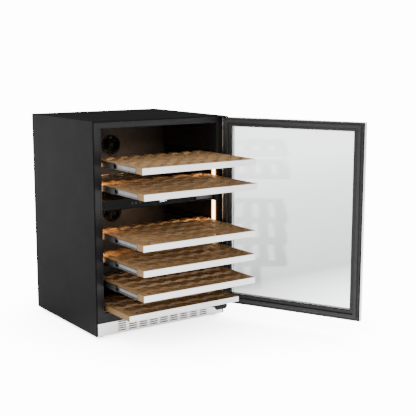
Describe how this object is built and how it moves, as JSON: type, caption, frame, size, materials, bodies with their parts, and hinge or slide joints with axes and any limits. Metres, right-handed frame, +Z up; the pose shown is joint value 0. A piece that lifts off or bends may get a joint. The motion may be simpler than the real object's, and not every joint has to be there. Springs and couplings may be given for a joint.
{
  "type": "wine cooler",
  "caption": "Built-under two-zone wine cooler with an open right-hinged glass door and six wooden racks drawn out.",
  "frame": {"origin": "on the floor at the centre of the four levelling feet", "axes": "+X to the viewer's right when facing the door, -Y out of the front, +Z up"},
  "size_m": [0.8549, 1.0744, 0.825],
  "materials": {
    "case_steel": "satin",
    "back_steel": "satin",
    "black_metal": "satin",
    "zinc_steel": "satin",
    "brushed_steel": "satin",
    "black_plastic": "matte",
    "liner_plastic": "satin",
    "gloss_black": "gloss",
    "foam": "matte",
    "wood": "matte",
    "clear_glass": "gloss",
    "spacer_metal": "satin",
    "gasket_rubber": "matte",
    "lamp_lens": "satin",
    "circuit_board": "satin",
    "aluminium_bare": "satin",
    "compressor_black": "satin",
    "copper": "satin"
  },
  "bodies": {
    "cabinet": {"outer_case": "case_steel", "back_panel": "back_steel", "screws": "zinc_steel", "fixed_rails": "zinc_steel", "base_pan": "black_metal", "hinge_brackets": "black_metal", "condenser": "black_metal", "front_frame": "black_plastic", "fan_grilles": "black_plastic", "fan_motors": "black_plastic", "control_housing": "black_plastic", "power_inlet": "black_plastic", "lamp_housings": "black_plastic", "inner_liner": "liner_plastic", "air_duct_panel": "liner_plastic", "zone_divider": "liner_plastic", "foam_insulation": "foam", "evaporators": "aluminium_bare", "control_fascia": "gloss_black", "control_board": "circuit_board", "lamp_lenses": "lamp_lens", "compressor": "compressor_black", "refrigerant_pipes": "copper", "kick_plate": "brushed_steel"},
    "door": {"door_front_frame": "brushed_steel", "outer_glass": "clear_glass", "glass_spacer": "spacer_metal", "inner_glass": "clear_glass", "door_inner_frame": "black_plastic", "door_gasket": "gasket_rubber", "door_hinge_blocks": "black_plastic"},
    "rack_1": {"rack_1_shelf": "wood", "rack_1_strip": "brushed_steel", "rack_1_runners": "zinc_steel"},
    "rack_1_middle": {"rack_1_middle_rails": "zinc_steel"},
    "rack_2": {"rack_2_shelf": "wood", "rack_2_strip": "brushed_steel", "rack_2_runners": "zinc_steel"},
    "rack_2_middle": {"rack_2_middle_rails": "zinc_steel"},
    "rack_3": {"rack_3_shelf": "wood", "rack_3_strip": "brushed_steel", "rack_3_runners": "zinc_steel"},
    "rack_3_middle": {"rack_3_middle_rails": "zinc_steel"},
    "rack_4": {"rack_4_shelf": "wood", "rack_4_strip": "brushed_steel", "rack_4_runners": "zinc_steel"},
    "rack_4_middle": {"rack_4_middle_rails": "zinc_steel"},
    "rack_5": {"rack_5_shelf": "wood", "rack_5_strip": "brushed_steel", "rack_5_runners": "zinc_steel"},
    "rack_5_middle": {"rack_5_middle_rails": "zinc_steel"},
    "rack_6": {"rack_6_shelf": "wood", "rack_6_strip": "brushed_steel"},
    "front_left_foot_body": {"front_left_foot": "zinc_steel"},
    "front_right_foot_body": {"front_right_foot": "zinc_steel"},
    "rear_left_foot_body": {"rear_left_foot": "zinc_steel"},
    "rear_right_foot_body": {"rear_right_foot": "zinc_steel"},
    "lower_fan_rotor_body": {"lower_fan_rotor": "black_plastic"},
    "upper_fan_rotor_body": {"upper_fan_rotor": "black_plastic"},
    "cooling_fan_rotor_body": {"cooling_fan_rotor": "black_plastic"}
  },
  "joints": [
    {"name": "door_hinge", "type": "hinge", "parent": "cabinet", "child": "door", "pos_m": [0.288, -0.2823, 0.4], "axis": [0, 0, 1], "range_deg": [-26.4, 0]},
    {"name": "rack_1_slide", "type": "slide", "parent": "cabinet", "child": "rack_1", "axis": [0, -1, 0], "range_m": [-0.285, 0.01]},
    {"name": "rack_1_middle_slide", "type": "slide", "parent": "cabinet", "child": "rack_1_middle", "axis": [0, -1, 0], "range_m": [-0.1425, 0.005]},
    {"name": "rack_2_slide", "type": "slide", "parent": "cabinet", "child": "rack_2", "axis": [0, -1, 0], "range_m": [-0.295, 0]},
    {"name": "rack_2_middle_slide", "type": "slide", "parent": "cabinet", "child": "rack_2_middle", "axis": [0, -1, 0], "range_m": [-0.1475, 0]},
    {"name": "rack_3_slide", "type": "slide", "parent": "cabinet", "child": "rack_3", "axis": [0, -1, 0], "range_m": [-0.286, 0.009]},
    {"name": "rack_3_middle_slide", "type": "slide", "parent": "cabinet", "child": "rack_3_middle", "axis": [0, -1, 0], "range_m": [-0.143, 0.0045]},
    {"name": "rack_4_slide", "type": "slide", "parent": "cabinet", "child": "rack_4", "axis": [0, -1, 0], "range_m": [-0.286, 0.009]},
    {"name": "rack_4_middle_slide", "type": "slide", "parent": "cabinet", "child": "rack_4_middle", "axis": [0, -1, 0], "range_m": [-0.143, 0.0045]},
    {"name": "rack_5_slide", "type": "slide", "parent": "cabinet", "child": "rack_5", "axis": [0, -1, 0], "range_m": [-0.286, 0.009]},
    {"name": "rack_5_middle_slide", "type": "slide", "parent": "cabinet", "child": "rack_5_middle", "axis": [0, -1, 0], "range_m": [-0.143, 0.0045]},
    {"name": "rack_6_slide", "type": "slide", "parent": "cabinet", "child": "rack_6", "axis": [0, -1, 0], "range_m": [-0.182, 0.018]},
    {"name": "front_left_levelling", "type": "slide", "parent": "cabinet", "child": "front_left_foot_body", "axis": [0, 0, -1], "range_m": [0, 0.025]},
    {"name": "front_right_levelling", "type": "slide", "parent": "cabinet", "child": "front_right_foot_body", "axis": [0, 0, -1], "range_m": [0, 0.025]},
    {"name": "rear_left_levelling", "type": "slide", "parent": "cabinet", "child": "rear_left_foot_body", "axis": [0, 0, -1], "range_m": [0, 0.025]},
    {"name": "rear_right_levelling", "type": "slide", "parent": "cabinet", "child": "rear_right_foot_body", "axis": [0, 0, -1], "range_m": [0, 0.025]},
    {"name": "lower_fan_spin", "type": "hinge", "parent": "cabinet", "child": "lower_fan_rotor_body", "pos_m": [0, 0.1495, 0.405], "axis": [0, 1, 0], "continuous": true},
    {"name": "upper_fan_spin", "type": "hinge", "parent": "cabinet", "child": "upper_fan_rotor_body", "pos_m": [0, 0.1495, 0.69], "axis": [0, 1, 0], "continuous": true},
    {"name": "cooling_fan_spin", "type": "hinge", "parent": "cabinet", "child": "cooling_fan_rotor_body", "pos_m": [0.15, 0.1125, 0.08], "axis": [0, 1, 0], "continuous": true}
  ],
  "couplings": [
    {"joint": "rack_1_middle_slide", "follows": "rack_1_slide", "ratio": 0.5},
    {"joint": "rack_2_middle_slide", "follows": "rack_2_slide", "ratio": 0.5},
    {"joint": "rack_3_middle_slide", "follows": "rack_3_slide", "ratio": 0.5},
    {"joint": "rack_4_middle_slide", "follows": "rack_4_slide", "ratio": 0.5},
    {"joint": "rack_5_middle_slide", "follows": "rack_5_slide", "ratio": 0.5}
  ]
}
